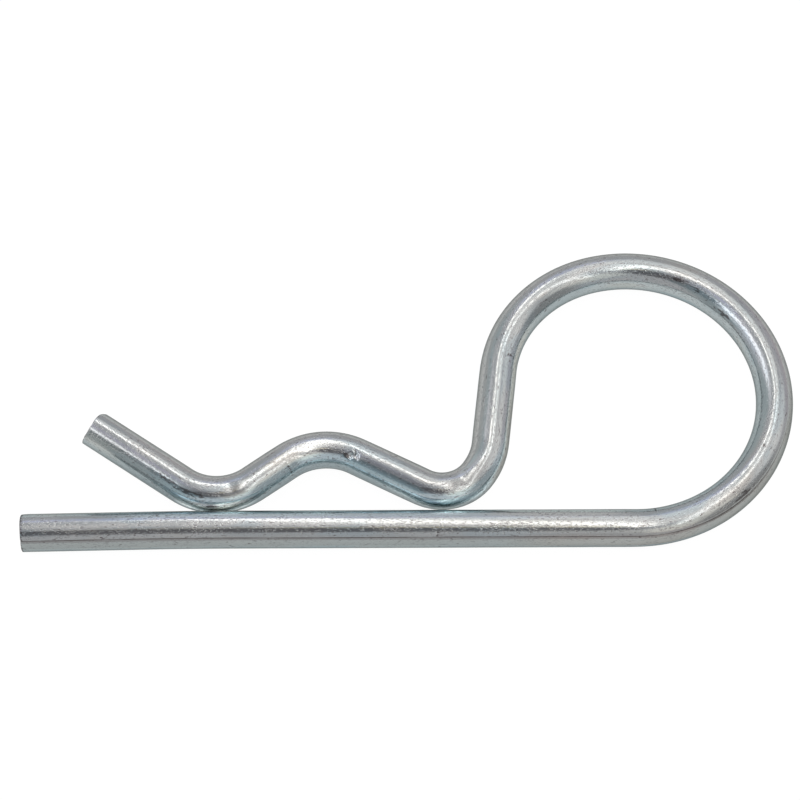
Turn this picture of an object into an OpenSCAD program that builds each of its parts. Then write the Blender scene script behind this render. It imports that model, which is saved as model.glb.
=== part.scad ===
// Hitch R clip: one length of round spring wire, bent flat.
// The straight leg lies along X, the loop is at +X and the waved leg is on the +Y side.
// Millimetres. The clip rests on Z = 0, with the origin under the middle of its outline.

/* [Wire] */
// Diameter of the spring wire
wire_d = 4; // [3:0.1:5]
// Bevel that the shear leaves round each cut end
end_bevel = 0.3; // [0.1:0.05:0.6]

/* [Straight leg] */
// Straight stretch at the free end, the first to go through the cross hole
lead_l = 12.2; // [8:0.1:30]
// Slight set that carries the free end away from the waved leg, in degrees
set_angle = 1; // [0.4:0.1:3]
// Radius of that set
set_r = 600; // [200:10:1000]
// Straight stretch from the set to the loop
leg_l = 41.7; // [34:0.1:60]

/* [Loop] */
// Radius of the wire's centre line round the loop
loop_r = 15.4; // [12.5:0.1:20]
// How far the loop turns at that radius, in degrees
loop_angle = 193.5; // [185:0.5:200]
// Tighter radius where the loop comes down into the neck
neck_bend_r = 13.8; // [10:0.1:15.5]
// Turn of that tighter part, in degrees
neck_bend_angle = 70; // [64:0.5:76]

/* [Waved leg] */
// Radius of the first, wider part of the heel, below the neck
heel_in_r = 7.7; // [5:0.1:10]
// Turn of that first part, in degrees
heel_in_angle = 31; // [26:0.5:36]
// Radius of the tighter part of the heel
heel_r = 4.6; // [3.5:0.1:6.5]
// Turn of that tighter part, in degrees
heel_angle = 80; // [75:0.5:84]
// Gap between the heel and the straight leg
heel_gap = 0.35; // [0.05:0.05:1.5]
// Straight stretch that rises from the heel to the crest
rise_l = 7.7; // [6:0.1:12]
// Radius of the crest, which sits over the pin
crest_r = 7.1; // [5:0.1:10]
// Turn of the crest, in degrees
crest_angle = 63.5; // [56:0.5:67]
// Radius of the toe, which presses on the straight leg
toe_r = 6.4; // [4.5:0.1:9]
// Turn of the toe, in degrees
toe_angle = 71; // [64:0.5:78]
// Hair's breadth left where the toe presses on the straight leg
toe_gap = 0.05; // [0.03:0.01:0.5]
// Straight stretch from the toe to the tip, turned up to lead the clip on
tip_l = 12.1; // [6:0.1:16]

/* [Hidden] */
$fn = 96;
wire_r = wire_d / 2;

// Bending draws the wire a shade thinner. Each bend's radius is one step less than that of
// what it runs into, and it laps into it, so that every joint is one clean ring.
bend_step = 0.02;
bend_lap = 0.2;

// Headings of the centre line, in degrees from +X
neck_heading = loop_angle + neck_bend_angle;
heel_mid_heading = neck_heading - heel_in_angle;
rise_heading = heel_mid_heading - heel_angle;
fall_heading = rise_heading + crest_angle;

// How far up a left or a right bend carries the centre line between two headings
function left_up(r, from, to) = r * (cos(from) - cos(to));
function right_up(r, from, to) = r * (cos(to) - cos(from));

// The neck comes down from the loop until the heel is heel_gap clear of the straight leg
loop_end_up = left_up(loop_r, 0, loop_angle) + left_up(neck_bend_r, loop_angle, neck_heading);
heel_in_up = right_up(heel_in_r, neck_heading, heel_mid_heading);
heel_up = right_up(heel_r, heel_mid_heading, 180);
heel_height = wire_d + heel_gap;
neck_l = (loop_end_up + heel_in_up + heel_up - heel_height) / -sin(neck_heading);

// The fall from the crest ends where the toe meets the straight leg
toe_height = wire_d + toe_gap;
rise_up = right_up(heel_r, 180, rise_heading) + rise_l * sin(rise_heading);
crest_up = left_up(crest_r, rise_heading, fall_heading);
toe_up = right_up(toe_r, fall_heading, 180);
fall_l = (heel_height + rise_up + crest_up + toe_up - toe_height) / -sin(fall_heading);

// The outline's extremes, from the point where the set begins
free_end_x = -set_r * sin(set_angle) - lead_l * cos(set_angle);
free_end_y = -set_r * (1 - cos(set_angle)) - lead_l * sin(set_angle);
low_x = free_end_x - (wire_r - end_bevel) * sin(set_angle);
high_x = leg_l + loop_r + wire_r - bend_step;
low_y = free_end_y + end_bevel * sin(set_angle) - wire_r * cos(set_angle);
high_y = 2 * loop_r + wire_r - bend_step;

// A straight stretch along +X from here. What follows starts at its end.
module straight(length) {
  rotate([0, 90, 0])
    cylinder(h = length, r = wire_r);
  translate([length, 0, 0])
    children();
}

// A straight stretch that ends in a sheared face with a bevelled rim
module cut_end(length) {
  rotate([0, 90, 0])
    rotate_extrude()
      polygon([
        [0, 0],
        [wire_r, 0],
        [wire_r, length - end_bevel],
        [wire_r - end_bevel, length],
        [0, length]
      ]);
}

// The torus of one bend. It laps into what lies before it, and after it, where that is 1.
module bend_body(radius, angle, steps, before, after) {
  lap_angle = bend_lap / radius * 180 / PI;
  rotate_extrude(angle = angle + (before + after) * lap_angle, start = -90 - before * lap_angle)
    translate([radius, 0])
      circle(r = wire_r - steps * bend_step);
}

// A bend to the left of the way the wire runs. What follows starts at its end.
module bend_left(radius, angle, steps = 1, before = 1, after = 1) {
  translate([0, radius, 0])
    bend_body(radius, angle, steps, before, after);
  translate([0, radius, 0])
    rotate([0, 0, angle])
      translate([0, -radius, 0])
        children();
}

// A bend to the right
module bend_right(radius, angle, steps = 1, before = 1, after = 1) {
  mirror([0, 1, 0])
    translate([0, radius, 0])
      bend_body(radius, angle, steps, before, after);
  translate([0, -radius, 0])
    rotate([0, 0, -angle])
      translate([0, radius, 0])
        children();
}

// The waved leg: heel, rise, crest, fall, toe and tip
module waved_leg() {
  bend_right(heel_in_r, heel_in_angle, 1, 1, 0)
    bend_right(heel_r, heel_angle, 2)
      straight(rise_l)
        bend_left(crest_r, crest_angle)
          straight(fall_l)
            bend_right(toe_r, toe_angle)
              cut_end(tip_l);
}

// The loop, and the neck that comes down from it
module loop() {
  bend_left(loop_r, loop_angle, 1, 1, 0)
    bend_left(neck_bend_r, neck_bend_angle, 2)
      straight(neck_l)
        children();
}

// The set and the free end, which run the other way along X
module free_end() {
  mirror([1, 0, 0])
    bend_right(set_r, set_angle)
      cut_end(lead_l);
}

module clip() {
  color([0.66, 0.68, 0.69])
    translate([-(low_x + high_x) / 2, -(low_y + high_y) / 2, wire_r])
      union() {
        free_end();
        straight(leg_l)
          loop()
            waved_leg();
      }
}

clip();
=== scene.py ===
import math
from functools import lru_cache

import bmesh
import bpy
from mathutils import Matrix, Vector, noise


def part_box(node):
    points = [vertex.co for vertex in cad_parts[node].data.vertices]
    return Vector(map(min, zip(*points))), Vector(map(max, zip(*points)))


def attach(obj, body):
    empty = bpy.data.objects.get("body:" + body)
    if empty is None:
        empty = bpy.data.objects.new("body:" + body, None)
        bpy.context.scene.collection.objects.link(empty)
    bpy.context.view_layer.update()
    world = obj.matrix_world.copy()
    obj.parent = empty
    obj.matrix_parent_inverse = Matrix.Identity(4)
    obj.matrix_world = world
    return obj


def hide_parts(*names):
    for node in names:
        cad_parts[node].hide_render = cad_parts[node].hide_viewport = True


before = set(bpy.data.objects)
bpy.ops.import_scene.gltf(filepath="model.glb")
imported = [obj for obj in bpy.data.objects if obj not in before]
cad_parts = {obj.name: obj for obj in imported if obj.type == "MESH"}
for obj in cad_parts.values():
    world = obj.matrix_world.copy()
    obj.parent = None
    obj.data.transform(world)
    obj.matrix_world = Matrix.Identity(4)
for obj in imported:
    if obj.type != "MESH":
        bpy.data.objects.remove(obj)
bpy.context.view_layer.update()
clipLow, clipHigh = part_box("clip")

# A hitch R clip lies on pale paper. It is one length of round spring wire, plated with zinc.
mm = 0.001
wireRadius = (clipHigh.z - clipLow.z) / 2


def headingOf(degrees):
    return Vector((math.cos(math.radians(degrees)), math.sin(math.radians(degrees)), 0))


def clamp(value):
    return max(0.0, min(1.0, value))


print("camera")

cameraView = {
    "aim": Vector((-1.13, -0.10, 2.0)) * mm,
    "distance": 323.7 * mm,
    "elevation": 63,  # above the floor, on the straight leg's side
    "turn": -0.257,  # round the upright
    "lens": 136.24,
    "sensor": 36,
    "near": 0.05,  # the nearest and farthest that it sees, as shares of the distance
    "far": 40,
}


def makeCamera(view):
    data = bpy.data.cameras.new("camera")
    data.sensor_width = view["sensor"]
    data.lens = view["lens"]
    data.clip_start = view["distance"] * view["near"]
    data.clip_end = view["distance"] * view["far"]
    camera = bpy.data.objects.new("camera", data)
    bpy.context.scene.collection.objects.link(camera)
    tilt = Matrix.Rotation(math.radians(90 - view["elevation"]), 4, "X")
    turn = Matrix.Rotation(math.radians(view["turn"]), 4, "Z")
    back = Matrix.Translation((0, 0, view["distance"]))
    camera.matrix_world = Matrix.Translation(view["aim"]) @ turn @ tilt @ back
    bpy.context.scene.camera = camera


makeCamera(cameraView)


class NodeSheet:
    # a node tree with short calls for the nodes that the finishes use
    def __init__(self, tree):
        self.tree = tree

    def node(self, kind, **values):
        made = self.tree.nodes.new(kind)
        for key, value in values.items():
            setattr(made, key, value)
        return made

    def feed(self, socket, value):
        # a socket takes another node's output or a plain value
        if isinstance(value, bpy.types.NodeSocket):
            self.tree.links.new(value, socket)
        else:
            socket.default_value = value

    def math(self, operation, a, b=0.0, c=0.0):
        made = self.node("ShaderNodeMath", operation=operation)
        for socket, value in zip(made.inputs, (a, b, c)):
            self.feed(socket, value)
        return made.outputs["Value"]

    def dot(self, a, b):
        made = self.node("ShaderNodeVectorMath", operation="DOT_PRODUCT")
        self.feed(made.inputs[0], a)
        self.feed(made.inputs[1], b)
        return made.outputs["Value"]

    def noise(self, place, pattern):
        stretched = self.node("ShaderNodeMapping", vector_type="POINT")
        self.feed(stretched.inputs["Vector"], place)
        stretched.inputs["Scale"].default_value = pattern["fineness"]
        made = self.node("ShaderNodeTexNoise")
        self.feed(made.inputs["Vector"], stretched.outputs["Vector"])
        made.inputs["Scale"].default_value = 1.0
        made.inputs["Detail"].default_value = pattern["detail"]
        made.inputs["Roughness"].default_value = pattern["rough"]
        return made.outputs["Fac"]

    def between(self, value, low, high, outLow=0.0, outHigh=1.0, soft=True):
        made = self.node("ShaderNodeMapRange")
        made.interpolation_type = "SMOOTHSTEP" if soft else "LINEAR"
        self.feed(made.inputs["Value"], value)
        made.inputs["From Min"].default_value = low
        made.inputs["From Max"].default_value = high
        made.inputs["To Min"].default_value = outLow
        made.inputs["To Max"].default_value = outHigh
        return made.outputs["Result"]

    def band(self, value, centre, half, soft):
        # 1 round the centre, and 0 from half outwards
        aside = self.math("ABSOLUTE", self.math("SUBTRACT", value, centre))
        return self.between(aside, half, half - soft)

    def mix(self, factor, a, b):
        made = self.node("ShaderNodeMix", data_type="RGBA")
        self.feed(made.inputs["Factor"], factor)
        self.feed(made.inputs["A"], a)
        self.feed(made.inputs["B"], b)
        return made.outputs["Result"]


def colour(red, green, blue):
    return (red, green, blue, 1.0)


print("studio")

# Places are angles from straight up, first towards +X and then towards +Y, in degrees.
# A lamp is a strip from one place to another, and a patch of the tent is a soft disc.
studio = {
    "distance": 700 * mm,
    "lamps": [
        {
            "name": "side_box",
            "from": (-36.5, 28),
            "to": (-37.5, -16),
            "wide": 17,
            "radiance": 1.44,
            "tint": (1.0, 0.93, 0.95),
        },
        {
            "name": "top_strip",
            "from": (-5, 42),
            "to": (9.3, -18.5),
            "wide": 5.6,
            "radiance": 2.95,
            "tint": (1.0, 0.89, 0.83),
        },
        {
            "name": "thin_strip",
            "from": (14, 27),
            "to": (24, -32),
            "wide": 4.4,
            "radiance": 2.0,
            "tint": (1.0, 0.92, 0.88),
        },
    ],
    "tent": colour(0.76, 0.70, 0.71),
    "patches": [
        {"towards": (-60, 45), "radius": 34, "soft": 0.8, "colour": colour(0.68, 0.70, 0.71)},
        {"towards": (60, 50), "radius": 34, "soft": 0.8, "colour": colour(0.77, 0.69, 0.73)},
        {"towards": (-50, 5), "radius": 24, "soft": 0.8, "colour": colour(1.12, 1.02, 1.07)},
        {"towards": (-20, 4), "radius": 10, "soft": 0.9, "colour": colour(0.82, 0.72, 0.84)},
        {"towards": (13, 10), "radius": 25, "soft": 0.6, "colour": colour(1.18, 1.05, 1.02)},
        {"towards": (9, 41), "radius": 14, "soft": 0.5, "colour": colour(1.42, 1.32, 1.30)},
        {"towards": (15, 30), "radius": 11, "soft": 0.6, "colour": colour(1.60, 1.47, 1.43)},
        {"towards": (31, -20), "radius": 15, "soft": 0.8, "colour": colour(1.22, 1.11, 1.05)},
        {"towards": (-30, 24), "radius": 12, "soft": 0.8, "colour": colour(1.25, 1.14, 1.18)},
        {"towards": (-8, 50), "radius": 13, "soft": 0.9, "colour": colour(0.98, 0.93, 1.12)},
        {"towards": (48, 14), "radius": 22, "soft": 0.8, "colour": colour(1.30, 1.18, 1.15)},
        {"towards": (24, -43), "radius": 21, "soft": 0.8, "colour": colour(1.25, 1.12, 1.03)},
        {"towards": (64, -32), "radius": 30, "soft": 0.7, "colour": colour(0.48, 0.45, 0.45)},
        {"towards": (-58, -38), "radius": 26, "soft": 0.8, "colour": colour(0.58, 0.60, 0.61)},
        {"towards": (-66, -33), "radius": 12, "soft": 0.8, "colour": colour(0.50, 0.53, 0.55)},
        {"towards": (-56, -19), "radius": 13, "soft": 0.8, "colour": colour(0.98, 0.95, 0.97)},
        {"towards": (-32, -33), "radius": 18, "soft": 0.35, "colour": colour(0.30, 0.33, 0.35)},
        {"towards": (-15, -11), "radius": 10, "soft": 0.8, "colour": colour(0.50, 0.45, 0.48)},
        {"towards": (2, -15), "radius": 6, "soft": 0.9, "colour": colour(0.85, 0.68, 0.45)},
        {"towards": (-8, -30), "radius": 16, "soft": 0.3, "colour": colour(0.23, 0.205, 0.215)},
    ],
    "floorWhite": colour(0.06, 0.0625, 0.064),
    "floorGlow": 0.965,
    "floorRoughness": 0.9,
    "floorShine": 0.1,
    "floorTop": 0.0,
    "floorHalf": 1500 * mm,
}


def towards(angles):
    # the direction that leans by these angles from straight up
    lean = math.radians(math.hypot(*angles))
    turn = math.atan2(angles[1], angles[0])
    return Vector((math.sin(lean) * math.cos(turn), math.sin(lean) * math.sin(turn), math.cos(lean)))


def makeLamp(lamp, distance):
    start, end = towards(lamp["from"]), towards(lamp["to"])
    direction = (start + end).normalized()
    along = (end - start).normalized()
    data = bpy.data.lights.new(lamp["name"], "AREA")
    data.shape = "RECTANGLE"
    data.size = 2 * distance * math.tan(math.radians(lamp["wide"] / 2))
    data.size_y = 2 * distance * math.tan(start.angle(end) / 2)
    data.energy = lamp["radiance"] * data.size * data.size_y * math.pi
    data.color = lamp["tint"]
    made = bpy.data.objects.new(lamp["name"], data)
    bpy.context.scene.collection.objects.link(made)
    facing = Matrix((along.cross(direction), along, direction)).transposed()
    made.matrix_world = Matrix.Translation(direction * distance) @ facing.to_4x4()


def makeTent(tent, patches):
    world = bpy.data.worlds.new("tent")
    bpy.context.scene.world = world
    world.use_nodes = True
    sheet = NodeSheet(world.node_tree)
    background = world.node_tree.nodes["Background"]
    look = sheet.node("ShaderNodeTexCoord").outputs["Generated"]
    shade = tent
    for patch in patches:
        along = sheet.dot(look, towards(patch["towards"]))
        rim = math.cos(math.radians(patch["radius"]))
        factor = sheet.between(along, rim, rim + (1 - rim) * patch["soft"])
        shade = sheet.mix(factor, shade, patch["colour"])
    sheet.feed(background.inputs["Color"], shade)


def makeFloor(settings):
    bm = bmesh.new()
    bmesh.ops.create_grid(bm, x_segments=1, y_segments=1, size=settings["floorHalf"])
    bmesh.ops.translate(bm, vec=(0, 0, settings["floorTop"]), verts=bm.verts)
    mesh = bpy.data.meshes.new("floor")
    bm.to_mesh(mesh)
    bm.free()
    floor = bpy.data.objects.new("floor", mesh)
    bpy.context.scene.collection.objects.link(floor)
    paper = bpy.data.materials.new("whitePaper")
    paper.use_nodes = True
    shader = paper.node_tree.nodes["Principled BSDF"]
    shader.inputs["Base Color"].default_value = settings["floorWhite"]
    shader.inputs["Roughness"].default_value = settings["floorRoughness"]
    shader.inputs["Specular IOR Level"].default_value = settings["floorShine"]
    shader.inputs["Emission Color"].default_value = colour(1, 1, 1)
    shader.inputs["Emission Strength"].default_value = settings["floorGlow"]
    mesh.materials.append(paper)


for lamp in studio["lamps"]:
    makeLamp(lamp, studio["distance"])
makeTent(studio["tent"], studio["patches"])
makeFloor(studio)
bpy.context.scene.view_settings.view_transform = "Standard"

print("wire")

# The wire from the free end of the straight leg to the tip of the waved leg.
# Lengths and centre line radii are in millimetres, turns in degrees, to the left where positive.
wire = {
    "name": "clip_wire",
    "freeEnd": 12.2,
    "set": (600, -1),
    "leg": 41.7,
    "loop": (15.4, 193.5),
    "neckBend": (13.8, 70),
    "heelIn": (7.7, -31),
    "heel": (4.6, -80),
    "heelGap": 0.35,
    "rise": 7.7,
    "crest": (7.1, 63.5),
    "toe": (6.4, -71),
    "toeGap": 0.05,
    "tip": 12.1,
    "bendThin": 0.02,  # bending draws the wire this much thinner
    "bendBlend": 2.5,  # the length over which it gets thinner
    "bendsUnder": 50,  # a wider radius than this, as the set has, leaves the wire as thick as it was
    "sides": 128,
    "rings": 600,
    "ringSamples": 8000,
    "crowd": 3.0,  # how many times closer the rings lie where there is a tool mark
    "crowdReach": 1.2,
}


def climb(bend, start, end):
    # how far up the page a bend carries the centre line between two headings
    radius, turn = bend
    return math.copysign(radius, turn) * (math.cos(math.radians(start)) - math.cos(math.radians(end)))


def neckAndFall():
    # the neck is as long as brings the heel down to the straight leg, and the fall the toe
    diameter = 2 * wireRadius / mm
    neckEnd = wire["loop"][1] + wire["neckBend"][1]
    heelMid = neckEnd + wire["heelIn"][1]
    riseHeading = heelMid + wire["heel"][1]
    fallHeading = riseHeading + wire["crest"][1]
    lowest = 180  # the heading at the bottom of the heel and of the toe
    drop = climb(wire["loop"], 0, wire["loop"][1]) + climb(wire["neckBend"], wire["loop"][1], neckEnd)
    drop += climb(wire["heelIn"], neckEnd, heelMid) + climb(wire["heel"], heelMid, lowest)
    drop -= diameter + wire["heelGap"]
    neck = drop / -math.sin(math.radians(neckEnd))
    drop = climb(wire["heel"], lowest, riseHeading) + wire["rise"] * math.sin(math.radians(riseHeading))
    drop += climb(wire["crest"], riseHeading, fallHeading) + climb(wire["toe"], fallHeading, lowest)
    drop += wire["heelGap"] - wire["toeGap"]
    fall = drop / -math.sin(math.radians(fallHeading))
    return neck, fall


neckLength, fallLength = neckAndFall()
route = [  # a length where the wire runs straight, and a radius and turn where it bends
    wire["freeEnd"],
    wire["set"],
    wire["leg"],
    wire["loop"],
    wire["neckBend"],
    neckLength,
    wire["heelIn"],
    wire["heel"],
    wire["rise"],
    wire["crest"],
    fallLength,
    wire["toe"],
    wire["tip"],
]


def layRoute():
    # each stretch with where it starts along the wire and on the page, its heading, length and curve
    along, spot, heading = 0.0, Vector((0, 0, 0)), -wire["set"][1]
    laid = []
    for stretch in route:
        if isinstance(stretch, tuple):
            radius, turn = stretch
            length = radius * math.radians(abs(turn))
            curve = math.radians(turn) / length
        else:
            length, curve = stretch, 0.0
        laid.append({"along": along, "spot": spot, "heading": heading, "length": length, "curve": curve})
        spot, heading = follow(laid[-1], length)
        along += length
    return laid, along


def follow(stretch, distance):
    # the spot and heading this far into a stretch
    spot, heading, curve = stretch["spot"], stretch["heading"], stretch["curve"]
    if curve == 0:
        return spot + headingOf(heading) * distance, heading
    ahead = heading + math.degrees(curve * distance)
    middle = spot + headingOf(heading + 90) / curve
    return middle - headingOf(ahead + 90) / curve, ahead


laid, wireLength = layRoute()
loopStart = laid[route.index(wire["loop"])]
loopMiddle = loopStart["spot"] + headingOf(loopStart["heading"] + 90) / loopStart["curve"]
loopReach = wire["loop"][0] * mm + wireRadius - wire["bendThin"] * mm
loopSeat = Vector((clipHigh.x - loopReach, clipHigh.y - loopReach, clipLow.z + wireRadius))


@lru_cache(maxsize=None)
def onRoute(along):
    # the centre line's spot and heading in the model's own frame
    started = [s for s in laid if s["along"] <= along + 1e-6]
    stretch = started[-1] if started else laid[0]
    spot, heading = follow(stretch, along - stretch["along"])
    return (spot - loopMiddle) * mm + loopSeat, heading


@lru_cache(maxsize=None)
def bendiness(along):
    # 1 in a bend and 0 on a straight, with a smooth change between them
    total = 0.0
    for stretch in laid:
        if abs(stretch["curve"]) * wire["bendsUnder"] > 1:
            inside = min(along - stretch["along"], stretch["along"] + stretch["length"] - along)
            total += clamp(0.5 + inside / wire["bendBlend"])
    return min(1.0, total)


# The tool marks. Each is at a place along the wire, in millimetres, and round it, in degrees from
# the left of its run up to the top, and its size is its half length and half width.
tooling = {
    "reach": 3,  # no mark is felt farther along the wire than this
    "nickTwist": 0.35,  # how far a nick's outline is turned
    "pressEdge": 4,  # how steep a press mark's sides are
    "marks": [
        {"kind": "nick", "at": (160.45, 61), "size": (0.42, 0.42), "depth": 0.22, "lean": 0.3},
        {"kind": "nick", "at": (159.90, 70), "size": (0.38, 0.52), "depth": 0.18, "lean": -0.5},
        {"kind": "press", "at": (168.55, 44), "size": (0.16, 1.3), "depth": 0.018, "lean": 0.02},
        {"kind": "press", "at": (131.85, 54), "size": (0.16, 0.75), "depth": 0.045, "lean": -0.2},
        {"kind": "press", "at": (43.55, 129), "size": (0.14, 0.45), "depth": 0.02, "lean": 0.0},
        {"kind": "press", "at": (148.1, 90), "size": (1.5, 1.6), "depth": 0.05, "lean": 0.15},
        {"kind": "press", "at": (174.9, 84), "size": (1.2, 1.3), "depth": 0.032, "lean": -0.1},
        {"kind": "press", "at": (66.6, 50), "size": (0.16, 0.85), "depth": 0.035, "lean": 0.05},
    ],
}


def crowdedPlaces(count):
    # where the rings go: evenly, but closer together at the tool marks
    def density(along):
        near = min(abs(along - mark["at"][0]) for mark in tooling["marks"])
        return wire["crowd"] if near < wire["crowdReach"] else 1.0

    tries = wire["ringSamples"]
    samples = [wireLength * (i + 0.5) / tries for i in range(tries)]
    total = sum(density(s) for s in samples)
    places, reached = [], 0.0
    for sample in samples:
        reached += density(sample)
        while len(places) < count and reached >= total * (len(places) + 1) / (count + 1):
            places.append(sample)
    return places


# The sheared ends. The blade cuts a little out of square, rolls the rim over on its own side and
# tears the face on the other. The cut is lowest at cutSide, and the roll deepest at rollSide, which
# are in degrees round the wire. The slant is a slope, and the other sizes are in millimetres.
ends = {
    "bevel": 0.14,
    "bevelSteps": 4,
    "faceRings": 7,
    "reach": 0.9,
    "free": {"cutSide": 180, "slant": 0.03, "rollSide": 20, "roll": 0.06, "longer": 0.0},
    "tip": {"cutSide": 71, "slant": 0.24, "rollSide": 165, "roll": 0.28, "longer": 0.3},
    "rollFade": 5,  # how sharply the roll fades away from its side
    "tear": 0.05,
    "tearSide": (0.6, -1.6),  # how torn the face is at its middle, and how much less at the rolled rim
    "tearFineness": 2.2,
    "tearDetail": (0.8, 2.1, 4),  # how smooth it is, how much finer each layer gets, and how many there are
}


def drawStraight():
    # a straight length of round bar along +X, with bevelled ends, then its rings
    bm = bmesh.new()
    length, radius = wireLength * mm, wireRadius
    bmesh.ops.create_cone(
        bm,
        cap_ends=True,
        cap_tris=False,
        segments=wire["sides"],
        radius1=radius,
        radius2=radius,
        depth=length,
    )
    bmesh.ops.rotate(bm, cent=(0, 0, 0), matrix=Matrix.Rotation(math.radians(90), 3, "Y"), verts=bm.verts)
    bmesh.ops.translate(bm, vec=(length / 2, 0, 0), verts=bm.verts)
    rims = list({e for f in bm.faces if len(f.verts) > 4 for e in f.edges})
    bmesh.ops.bevel(
        bm,
        geom=rims,
        offset=ends["bevel"] * mm,
        offset_type="OFFSET",
        segments=ends["bevelSteps"],
        profile=0.5,
        affect="EDGES",
        material=-1,
    )
    caps = [f for f in bm.faces if len(f.verts) > 4]
    for cap in caps:
        cap.material_index = 1
        band = (radius - ends["bevel"] * mm) / (ends["faceRings"] + 1)
        for step in range(ends["faceRings"]):
            around = bmesh.ops.inset_region(bm, faces=[cap], thickness=band)["faces"]
            for face in around:
                face.material_index = 1
    bmesh.ops.poke(bm, faces=caps)
    longEdges = [e for e in bm.edges if e.calc_length() > length / 2]
    bmesh.ops.subdivide_edges(bm, edges=longEdges, cuts=wire["rings"], use_grid_fill=True)
    return bm


def spaceRings(bm):
    places = crowdedPlaces(wire["rings"])
    inner, outer = ends["bevel"], wireLength - ends["bevel"]
    step = (outer - inner) / (wire["rings"] + 1)
    for v in bm.verts:
        along = v.co.x / mm
        if inner + step / 2 < along < outer - step / 2:
            v.co.x = places[round((along - inner) / step) - 1] * mm


# What the drawing die left: a groove along the wire, which fades out at its end, and shallow waves.
# Places round the wire are in degrees, and the rest is in millimetres.
drawing = {
    "lineRound": 141,
    "lineDepth": 0.028,
    "lineWidth": 0.11,
    "lineEnd": 88,
    "lineFade": 10,
    "lineWander": 1.2,
    "wanderLength": 14,
    "wanderShift": 3.7,
    "waves": [
        {"depth": 0.008, "length": 9, "fineness": 1.1, "shift": 0},
        {"depth": 0.005, "length": 2.2, "fineness": 1.9, "shift": 7},
    ],
    "worn": 0.004,  # taken off all round, so that nothing stands out past the full thickness
    "skin": 0.75,  # on an end face the waves and marks fade out from the rim to this share of the radius
    "core": 0.1,  # nearer to the middle of an end face than this nothing is pushed inwards
}


def asideFrom(middle, degrees):
    # how far round the wire two places lie from each other, in millimetres
    return math.radians(degrees - middle) * wireRadius / mm


def waveDepth(along, across, up):
    # shallow waves, longer along the wire than round it, that break up the reflections
    depth = 0.0
    for wave in drawing["waves"]:
        fineness = wave["fineness"]
        spot = Vector((along / wave["length"], across * fineness + wave["shift"], up * fineness))
        depth += wave["depth"] * (0.5 + 0.5 * noise.noise(spot))
    return depth


def lineDepth(along, degrees):
    # the fine groove that a worn die scores along the wire
    swing = noise.noise(Vector((along / drawing["wanderLength"], drawing["wanderShift"], 0)))
    middle = drawing["lineRound"] + drawing["lineWander"] * swing
    aside = asideFrom(middle, degrees) / drawing["lineWidth"]
    fade = clamp((drawing["lineEnd"] - along) / drawing["lineFade"])
    return drawing["lineDepth"] * fade * math.exp(-aside * aside)


def markDepth(mark, along, degrees):
    # a nick has flat sides that meet in a sharp bottom, and a press mark is a soft crosswise dent
    aside = asideFrom(mark["at"][1], degrees)
    u = (along - mark["at"][0] + mark["lean"] * aside) / mark["size"][0]
    v = aside / mark["size"][1]
    if mark["kind"] == "nick":
        twist = tooling["nickTwist"]
        return mark["depth"] * max(0.0, 1 - max(abs(u + twist * v), abs(v - twist * u)))
    return mark["depth"] * math.exp(-tooling["pressEdge"] * u * u - v * v * v * v)


def surfaceDepth(along, across, up):
    # how far the surface lies inside the true round, in millimetres
    degrees = math.degrees(math.atan2(up, across))
    depth = drawing["worn"] + waveDepth(along, across, up) + lineDepth(along, degrees)
    for mark in tooling["marks"]:
        if abs(mark["at"][0] - along) < tooling["reach"]:
            depth += markDepth(mark, along, degrees)
    return depth


# Dark marks on the plating, with places and sizes as for the tool marks: dark smudges and specks,
# the thin crosswise ones on the press marks, and a painted shade line round the rim of each end
marksAndRimShade = {
    "smudges": [
        {"at": (106.5, 64), "size": (1.1, 0.4), "dark": 0.9},
        {"at": (104.4, 57), "size": (0.9, 0.3), "dark": 0.8},
        {"at": (100.0, 41), "size": (1.5, 0.35), "dark": 0.8},
        {"at": (75.8, 130), "size": (1.5, 0.35), "dark": 0.75},
        {"at": (81.6, 87), "size": (0.35, 0.2), "dark": 1.0},
        # this one darkens the pit of the nick beside it
        {"at": (160.95, 58), "size": (0.5, 0.4), "dark": 1.2},
        {"at": (181.4, 62), "size": (1.8, 0.4), "dark": 0.55},
        {"at": (178.8, 55), "size": (2.4, 0.35), "dark": 0.6},
        {"at": (176.8, 27), "size": (0.5, 0.28), "dark": 1.0},
        # these four thin crosswise marks darken the press marks that lie under them
        {"at": (168.55, 44), "size": (0.15, 1.4), "dark": 0.85},
        {"at": (131.85, 54), "size": (0.14, 0.8), "dark": 0.8},
        {"at": (43.55, 129), "size": (0.12, 0.5), "dark": 0.5},
        {"at": (66.55, 46), "size": (0.15, 1.0), "dark": 1.0},
    ],
    "rim": 0.95,  # how dark the painted rim shade is at the very end
    "rimReach": 0.30,
    "rimFrom": 0.9,  # the share of the radius where it starts
}


def marksAndRimShadeAt(along, across, up):
    # how dark the marks and the painted rim shade are here, before the grain of the plating breaks them up
    degrees = math.degrees(math.atan2(up, across))
    dark = 0.0
    # the painted shade along the rim of each end, darkest at the very end
    if math.hypot(across, up) > marksAndRimShade["rimFrom"] * wireRadius / mm:
        dark = marksAndRimShade["rim"] * (1 - min(along, wireLength - along) / marksAndRimShade["rimReach"])
    for smudge in marksAndRimShade["smudges"]:
        u = (along - smudge["at"][0]) / smudge["size"][0]
        v = asideFrom(smudge["at"][1], degrees) / smudge["size"][1]
        dark = max(dark, smudge["dark"] * (1 - u * u - v * v))
    return max(0.0, dark)


def towardsSide(across, up, side):
    return across * math.cos(math.radians(side)) + up * math.sin(math.radians(side))


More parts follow.
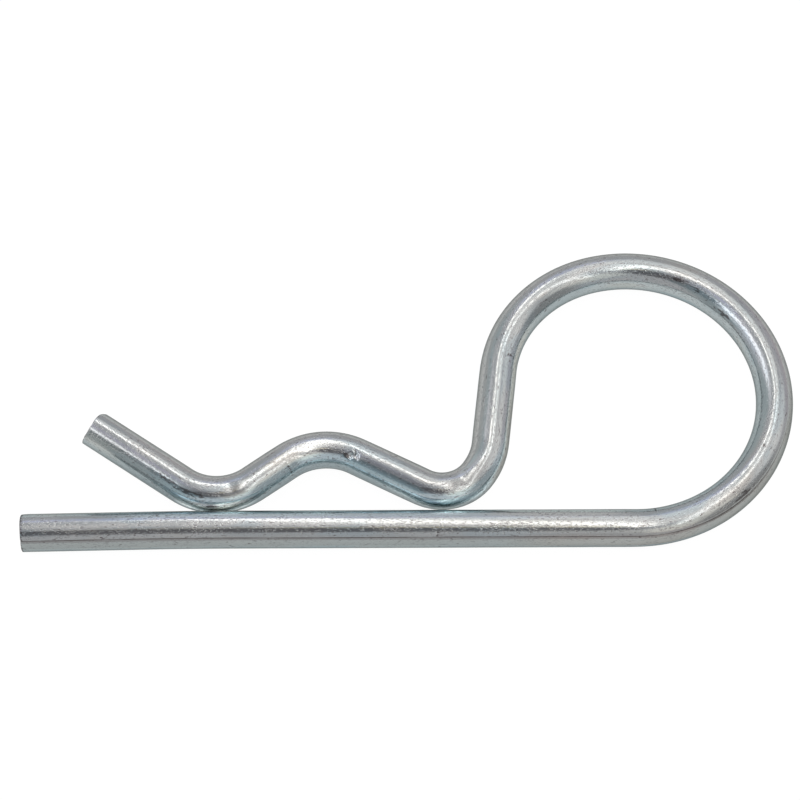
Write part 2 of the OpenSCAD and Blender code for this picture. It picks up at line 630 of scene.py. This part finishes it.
def endShape(along, across, up):
    # how much shorter the wire is here near a sheared end, and how far its skin is rolled inwards
    here, away = (ends["free"], along) if along < wireLength / 2 else (ends["tip"], wireLength - along)
    if away > ends["reach"]:
        return 0.0, 0.0
    near = 1 - away / ends["reach"]
    radius = wireRadius / mm
    cut = towardsSide(across, up, here["cutSide"])
    rolled = towardsSide(across, up, here["rollSide"])
    torn = clamp(ends["tearSide"][0] + ends["tearSide"][1] * rolled / radius)
    fineness = ends["tearFineness"]
    rough = noise.fractal(Vector((across * fineness, up * fineness, along)), *ends["tearDetail"])
    tear = ends["tear"] * torn * (0.5 + 0.5 * rough)
    bite = max(0.0, rolled / radius) ** ends["rollFade"]
    shorter = here["slant"] * (cut + radius) - here["longer"] + tear + here["roll"] * bite
    return shorter * near, here["roll"] * bite * near ** 2


def shapeAndBend(bm):
    # each point of the straight bar is dented, then carried to its place along the route
    place = bm.verts.layers.float_vector.new("wirePlace")
    smudge = bm.verts.layers.float.new("wireMarksAndRimShade")
    for v in bm.verts:
        along, across, up = v.co / mm
        v[place] = Vector((along, across, up))
        v[smudge] = marksAndRimShadeAt(along, across, up)
        spread = math.hypot(across, up)
        shorter, rolled = endShape(along, across, up)
        along += shorter if along < wireLength / 2 else -shorter
        skin = clamp((spread * mm / wireRadius - drawing["skin"]) / (1 - drawing["skin"]))
        bent = bendiness(round(along, 4))
        depth = skin * surfaceDepth(along, across, up) + wire["bendThin"] * bent + rolled
        keep = 1 - depth / spread if spread > drawing["core"] else 1.0
        spot, heading = onRoute(round(along, 4))
        across *= keep
        v.co = spot + headingOf(heading + 90) * across * mm + Vector((0, 0, up * keep * mm))


def makeWire():
    bm = drawStraight()
    spaceRings(bm)
    shapeAndBend(bm)
    bmesh.ops.recalc_face_normals(bm, faces=bm.faces)
    mesh = bpy.data.meshes.new(wire["name"])
    bm.to_mesh(mesh)
    bm.free()
    for face in mesh.polygons:
        face.use_smooth = True
    piece = bpy.data.objects.new(wire["name"], mesh)
    bpy.context.scene.collection.objects.link(piece)
    print("wire faces", len(mesh.polygons), "length", round(wireLength, 2))
    return piece


clipWire = makeWire()

print("zinc")

# The patterns of the finish. Fineness is to a millimetre, along the wire, across it and up.
patterns = {
    "drawn": {"fineness": (0.06, 4.0, 4.0), "detail": 2.0, "rough": 0.6},
    "cloud": {"fineness": (0.16, 0.45, 0.45), "detail": 3.0, "rough": 0.6},
    "grain": {"fineness": (1.7, 4.6, 4.6), "detail": 3.0, "rough": 0.6},
    "pocks": {"fineness": (3.0, 7.0, 7.0), "detail": 1.0, "rough": 0.5},
    "hue": {"fineness": (0.11, 0.5, 0.5), "detail": 2.0, "rough": 0.5},
    "wander": {"fineness": (0.05, 0.0, 0.0), "detail": 1.0, "rough": 0.5},
    "broken": {"fineness": (0.25, 0.0, 0.0), "detail": 3.0, "rough": 0.5},
    "torn": {"fineness": (1.0, 3.5, 1.6), "detail": 4.0, "rough": 0.6},
}

# How much each pattern adds to the height of the surface, and where the craters and pits are: how
# much the clouds help them, and from what value a pock starts to be one and is one
relief = {
    "drawn": 0.35,
    "grain": 0.32,
    "craters": -0.34,
    "craterCloud": 0.35,
    "craterBand": (0.74, 0.84),
    "pitCloud": 0.45,
    "pitBand": (0.85, 0.93),
}


def makeGrain():
    # the drawn and plated surface: its height, its pits, its large clouds and its fine grain
    tree = bpy.data.node_groups.new("platedGrain", "ShaderNodeTree")
    tree.interface.new_socket(name="Place", in_out="INPUT", socket_type="NodeSocketVector")
    for name in ("Height", "Pits", "Cloud", "Grain"):
        tree.interface.new_socket(name=name, in_out="OUTPUT", socket_type="NodeSocketFloat")
    sheet = NodeSheet(tree)
    place = sheet.node("NodeGroupInput").outputs["Place"]
    result = sheet.node("NodeGroupOutput")
    drawn, cloud, grain, pocks = (
        sheet.noise(place, patterns[name]) for name in ("drawn", "cloud", "grain", "pocks")
    )
    craters = sheet.math("MULTIPLY_ADD", cloud, relief["craterCloud"], pocks)
    craters = sheet.between(craters, *relief["craterBand"])
    pits = sheet.math("MULTIPLY_ADD", cloud, relief["pitCloud"], pocks)
    pits = sheet.between(pits, *relief["pitBand"])
    height = sheet.math("MULTIPLY", grain, relief["grain"])
    height = sheet.math("MULTIPLY_ADD", drawn, relief["drawn"], height)
    height = sheet.math("MULTIPLY_ADD", craters, relief["craters"], height)
    for name, value in (("Height", height), ("Pits", pits), ("Cloud", cloud), ("Grain", grain)):
        sheet.feed(result.inputs[name], value)
    return tree


# The zinc's tones, and how far and where the yellow, blue and pink ones tint it, by the hue pattern
# or the grain
zinc = {
    "grey": colour(0.348, 0.398, 0.408),
    "pale": colour(0.406, 0.452, 0.458),
    "paleBand": (0.35, 0.65),
    "yellow": {"tone": colour(0.430, 0.435, 0.400), "band": (0.56, 0.72), "share": 0.45},
    "blue": {"tone": colour(0.335, 0.415, 0.445), "band": (0.46, 0.36), "share": 0.6},
    "pink": {"tone": colour(0.440, 0.425, 0.450), "band": (0.60, 0.72), "share": 0.25},
    "dull": colour(0.20, 0.205, 0.21),
    "dullShare": 0.5,
    "edge": colour(0.385, 0.40, 0.395),  # the tone at a grazing angle
    "roughness": (0.10, 0.20),
    "roughBand": (0.35, 0.65),
    "bumpHeight": 0.018 * mm,
    # The colour of the dark marks, of the painted rim shade and of the groove's dark line; how far the
    # grain breaks up the marks and the rim shade, and from what darkness they start and are full
    "smudge": colour(0.085, 0.075, 0.075),
    "smudgeBroken": 3.2,
    "smudgeBand": (0.30, 0.75),
    "smudgeShare": 0.8,
    # The dark line painted along the die's groove, in radians round the wire. It is broken between two
    # values of its pattern, from the share that is left there to all of it.
    "lineHalf": 0.045,
    "lineWander": 0.06,
    "lineBroken": (0.35, 0.55, 0.45, 1.0),
    # Painted reflections and painted shade, laid on as tints of the plating. The colour is made lighter
    # where reflections of the lamps and of the wire's other parts are painted, and darker to dim highlights
    # and to shade the lower sides. Each has its middle along the wire and round it, then its half length
    # and half width, in millimetres and degrees
    "paintedReflectionAndShadePatches": [
        {"at": (31, 56), "half": (23, 25), "tone": colour(0.470, 0.590, 0.625)},
        {"at": (56, 56), "half": (9, 25), "tone": colour(0.480, 0.530, 0.525)},
        {"at": (20.8, 56), "half": (3, 10), "tone": colour(0.620, 0.770, 0.820)},
        {"at": (44.8, 59), "half": (2.2, 9), "tone": colour(0.680, 0.830, 0.880)},
        {"at": (21, 20), "half": (5, 26), "tone": colour(0.600, 0.600, 0.580)},
        {"at": (44.8, 20), "half": (4, 26), "tone": colour(0.430, 0.530, 0.560)},
        {"at": (28, 157), "half": (34, 26), "tone": colour(0.292, 0.318, 0.316)},
        {"at": (78, 163), "half": (28, 42), "tone": colour(0.325, 0.332, 0.318)},
        {"at": (145, 142), "half": (60, 32), "tone": colour(0.410, 0.418, 0.412)},
        {"at": (136, 27), "half": (12, 15), "tone": colour(0.460, 0.475, 0.450)},
        {"at": (148.5, 84), "half": (5, 20), "tone": colour(0.320, 0.355, 0.360)},
        {"at": (148.3, 86), "half": (1.9, 18), "tone": colour(0.260, 0.290, 0.295)},
        {"at": (146.3, 108), "half": (2.4, 20), "tone": colour(0.480, 0.545, 0.555)},
        {"at": (102, 62), "half": (4.5, 20), "tone": colour(0.420, 0.500, 0.530)},
        {"at": (155, 66), "half": (6, 22), "tone": colour(0.275, 0.320, 0.340)},
        {"at": (162, 36), "half": (22, 28), "tone": colour(0.465, 0.600, 0.645)},
        {"at": (164.8, 80), "half": (2.6, 28), "tone": colour(0.450, 0.500, 0.505)},
        {"at": (151, 28), "half": (6.5, 20), "tone": colour(0.640, 0.760, 0.790)},
        {"at": (141.5, 12), "half": (6, 28), "tone": colour(0.360, 0.365, 0.345)},
        {"at": (153, 160), "half": (6, 28), "tone": colour(0.310, 0.322, 0.320)},
        {"at": (50, 97), "half": (13, 18), "tone": colour(0.322, 0.357, 0.358)},
        {"at": (170.5, 12), "half": (19.5, 18), "tone": colour(0.280, 0.330, 0.345)},
        {"at": (176.6, 15), "half": (3.8, 21), "tone": colour(0.880, 0.970, 0.970)},
        {"at": (174.7, 70), "half": (1.4, 24), "tone": colour(0.225, 0.250, 0.255)},
    ],
    "paintedPatchFade": 7,  # the most that a painted patch takes to fade out lengthwise
    "paintedPatchSoft": 0.6,  # the share of the half width over which it fades out crosswise
    "paintedPatchBroken": (0.3, 0.6, 0.75, 1.0),  # how the clouds break it up, as for the groove's dark line
}


def dieLineDark(sheet, place, along, around):
    # the dark line painted along the groove of the drawing die
    wander = sheet.noise(place, patterns["wander"])
    around = sheet.math("MULTIPLY_ADD", wander, -zinc["lineWander"], around)
    middle = math.radians(drawing["lineRound"]) - zinc["lineWander"] / 2
    line = sheet.band(around, middle, zinc["lineHalf"], zinc["lineHalf"])
    broken = sheet.noise(place, patterns["broken"])
    line = sheet.math("MULTIPLY", line, sheet.between(broken, *zinc["lineBroken"]))
    lineStart = drawing["lineEnd"] - drawing["lineFade"]
    return sheet.math("MULTIPLY", line, sheet.between(along, drawing["lineEnd"], lineStart))


def paintedPatchShare(sheet, paintedPatch, along, around, cloud):
    # how much of a patch of painted reflection and shade lies here, with its edge broken up by the clouds
    reach, spread = paintedPatch["half"][0], math.radians(paintedPatch["half"][1])
    lengthwise = sheet.band(along, paintedPatch["at"][0], reach, min(zinc["paintedPatchFade"], reach / 2))
    across = sheet.band(around, math.radians(paintedPatch["at"][1]), spread, spread * zinc["paintedPatchSoft"])
    share = sheet.math("MULTIPLY", lengthwise, across)
    return sheet.math("MULTIPLY", share, sheet.between(cloud, *zinc["paintedPatchBroken"]))


def startMetal(name, grainGroup):
    # a metal, with its place on the wire and the plated surface there
    material = bpy.data.materials.new(name)
    material.use_nodes = True
    sheet = NodeSheet(material.node_tree)
    shader = material.node_tree.nodes["Principled BSDF"]
    shader.inputs["Metallic"].default_value = 1.0
    shader.inputs["Specular Tint"].default_value = zinc["edge"]
    place = sheet.node("ShaderNodeAttribute", attribute_name="wirePlace").outputs["Vector"]
    surface = sheet.node("ShaderNodeGroup", node_tree=grainGroup)
    sheet.feed(surface.inputs["Place"], place)
    return material, sheet, shader, place, surface.outputs


def feedBump(sheet, shader, height, distance):
    bump = sheet.node("ShaderNodeBump")
    bump.inputs["Distance"].default_value = distance
    sheet.feed(bump.inputs["Height"], height)
    sheet.feed(shader.inputs["Normal"], bump.outputs["Normal"])


def makeZinc(grainGroup):
    material, sheet, shader, place, surface = startMetal("zincPlate", grainGroup)
    cloud, grain = surface["Cloud"], surface["Grain"]
    hue = sheet.noise(place, patterns["hue"])
    base = sheet.mix(sheet.between(cloud, *zinc["paleBand"]), zinc["grey"], zinc["pale"])
    for name, mask in (("yellow", hue), ("blue", hue), ("pink", grain)):
        tint = zinc[name]
        base = sheet.mix(sheet.between(mask, *tint["band"], 0.0, tint["share"]), base, tint["tone"])
    parts = sheet.node("ShaderNodeSeparateXYZ")
    sheet.feed(parts.inputs["Vector"], place)
    along = parts.outputs["X"]
    around = sheet.math("ARCTAN2", parts.outputs["Z"], parts.outputs["Y"])
    # the painted reflections and painted shade, laid over the plating's tones one patch after another
    for paintedPatch in zinc["paintedReflectionAndShadePatches"]:
        base = sheet.mix(paintedPatchShare(sheet, paintedPatch, along, around, cloud), base, paintedPatch["tone"])
    base = sheet.mix(sheet.math("MULTIPLY", surface["Pits"], zinc["dullShare"]), base, zinc["dull"])
    # the dark marks and the painted rim shade, broken up by the grain
    smudge = sheet.node("ShaderNodeAttribute", attribute_name="wireMarksAndRimShade").outputs["Fac"]
    uneven = sheet.math("SUBTRACT", grain, 0.5)
    smudge = sheet.math("MULTIPLY_ADD", uneven, zinc["smudgeBroken"], smudge)
    smudge = sheet.math("MULTIPLY", sheet.between(smudge, *zinc["smudgeBand"]), zinc["smudgeShare"])
    smudge = sheet.math("MAXIMUM", smudge, dieLineDark(sheet, place, along, around))
    base = sheet.mix(smudge, base, zinc["smudge"])
    sheet.feed(shader.inputs["Base Color"], base)
    roughness = sheet.between(grain, *zinc["roughBand"], *zinc["roughness"], soft=False)
    sheet.feed(shader.inputs["Roughness"], roughness)
    feedBump(sheet, shader, surface["Height"], zinc["bumpHeight"])
    return material


# The sheared faces, where the plating is dull over the torn steel
cutFace = {
    "grey": colour(0.37, 0.40, 0.405),
    "dull": colour(0.27, 0.285, 0.29),
    "greyBand": (0.35, 0.65),
    "roughness": (0.30, 0.50),
    "roughBand": (0.3, 0.7),
    "tornHeight": 2.0,
    "bumpHeight": 0.02 * mm,
}


def makeShearedEnd(grainGroup):
    material, sheet, shader, place, surface = startMetal("shearedEnd", grainGroup)
    torn = sheet.noise(place, patterns["torn"])
    base = sheet.mix(sheet.between(torn, *cutFace["greyBand"]), cutFace["dull"], cutFace["grey"])
    base = sheet.mix(sheet.math("MULTIPLY", surface["Pits"], zinc["dullShare"]), base, zinc["dull"])
    sheet.feed(shader.inputs["Base Color"], base)
    roughness = sheet.between(torn, *cutFace["roughBand"], *cutFace["roughness"], soft=False)
    sheet.feed(shader.inputs["Roughness"], roughness)
    height = sheet.math("MULTIPLY_ADD", torn, cutFace["tornHeight"], surface["Height"])
    feedBump(sheet, shader, height, cutFace["bumpHeight"])
    return material


platedGrain = makeGrain()
clipWire.data.materials.append(makeZinc(platedGrain))
clipWire.data.materials.append(makeShearedEnd(platedGrain))
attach(clipWire, "root")
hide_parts("clip")
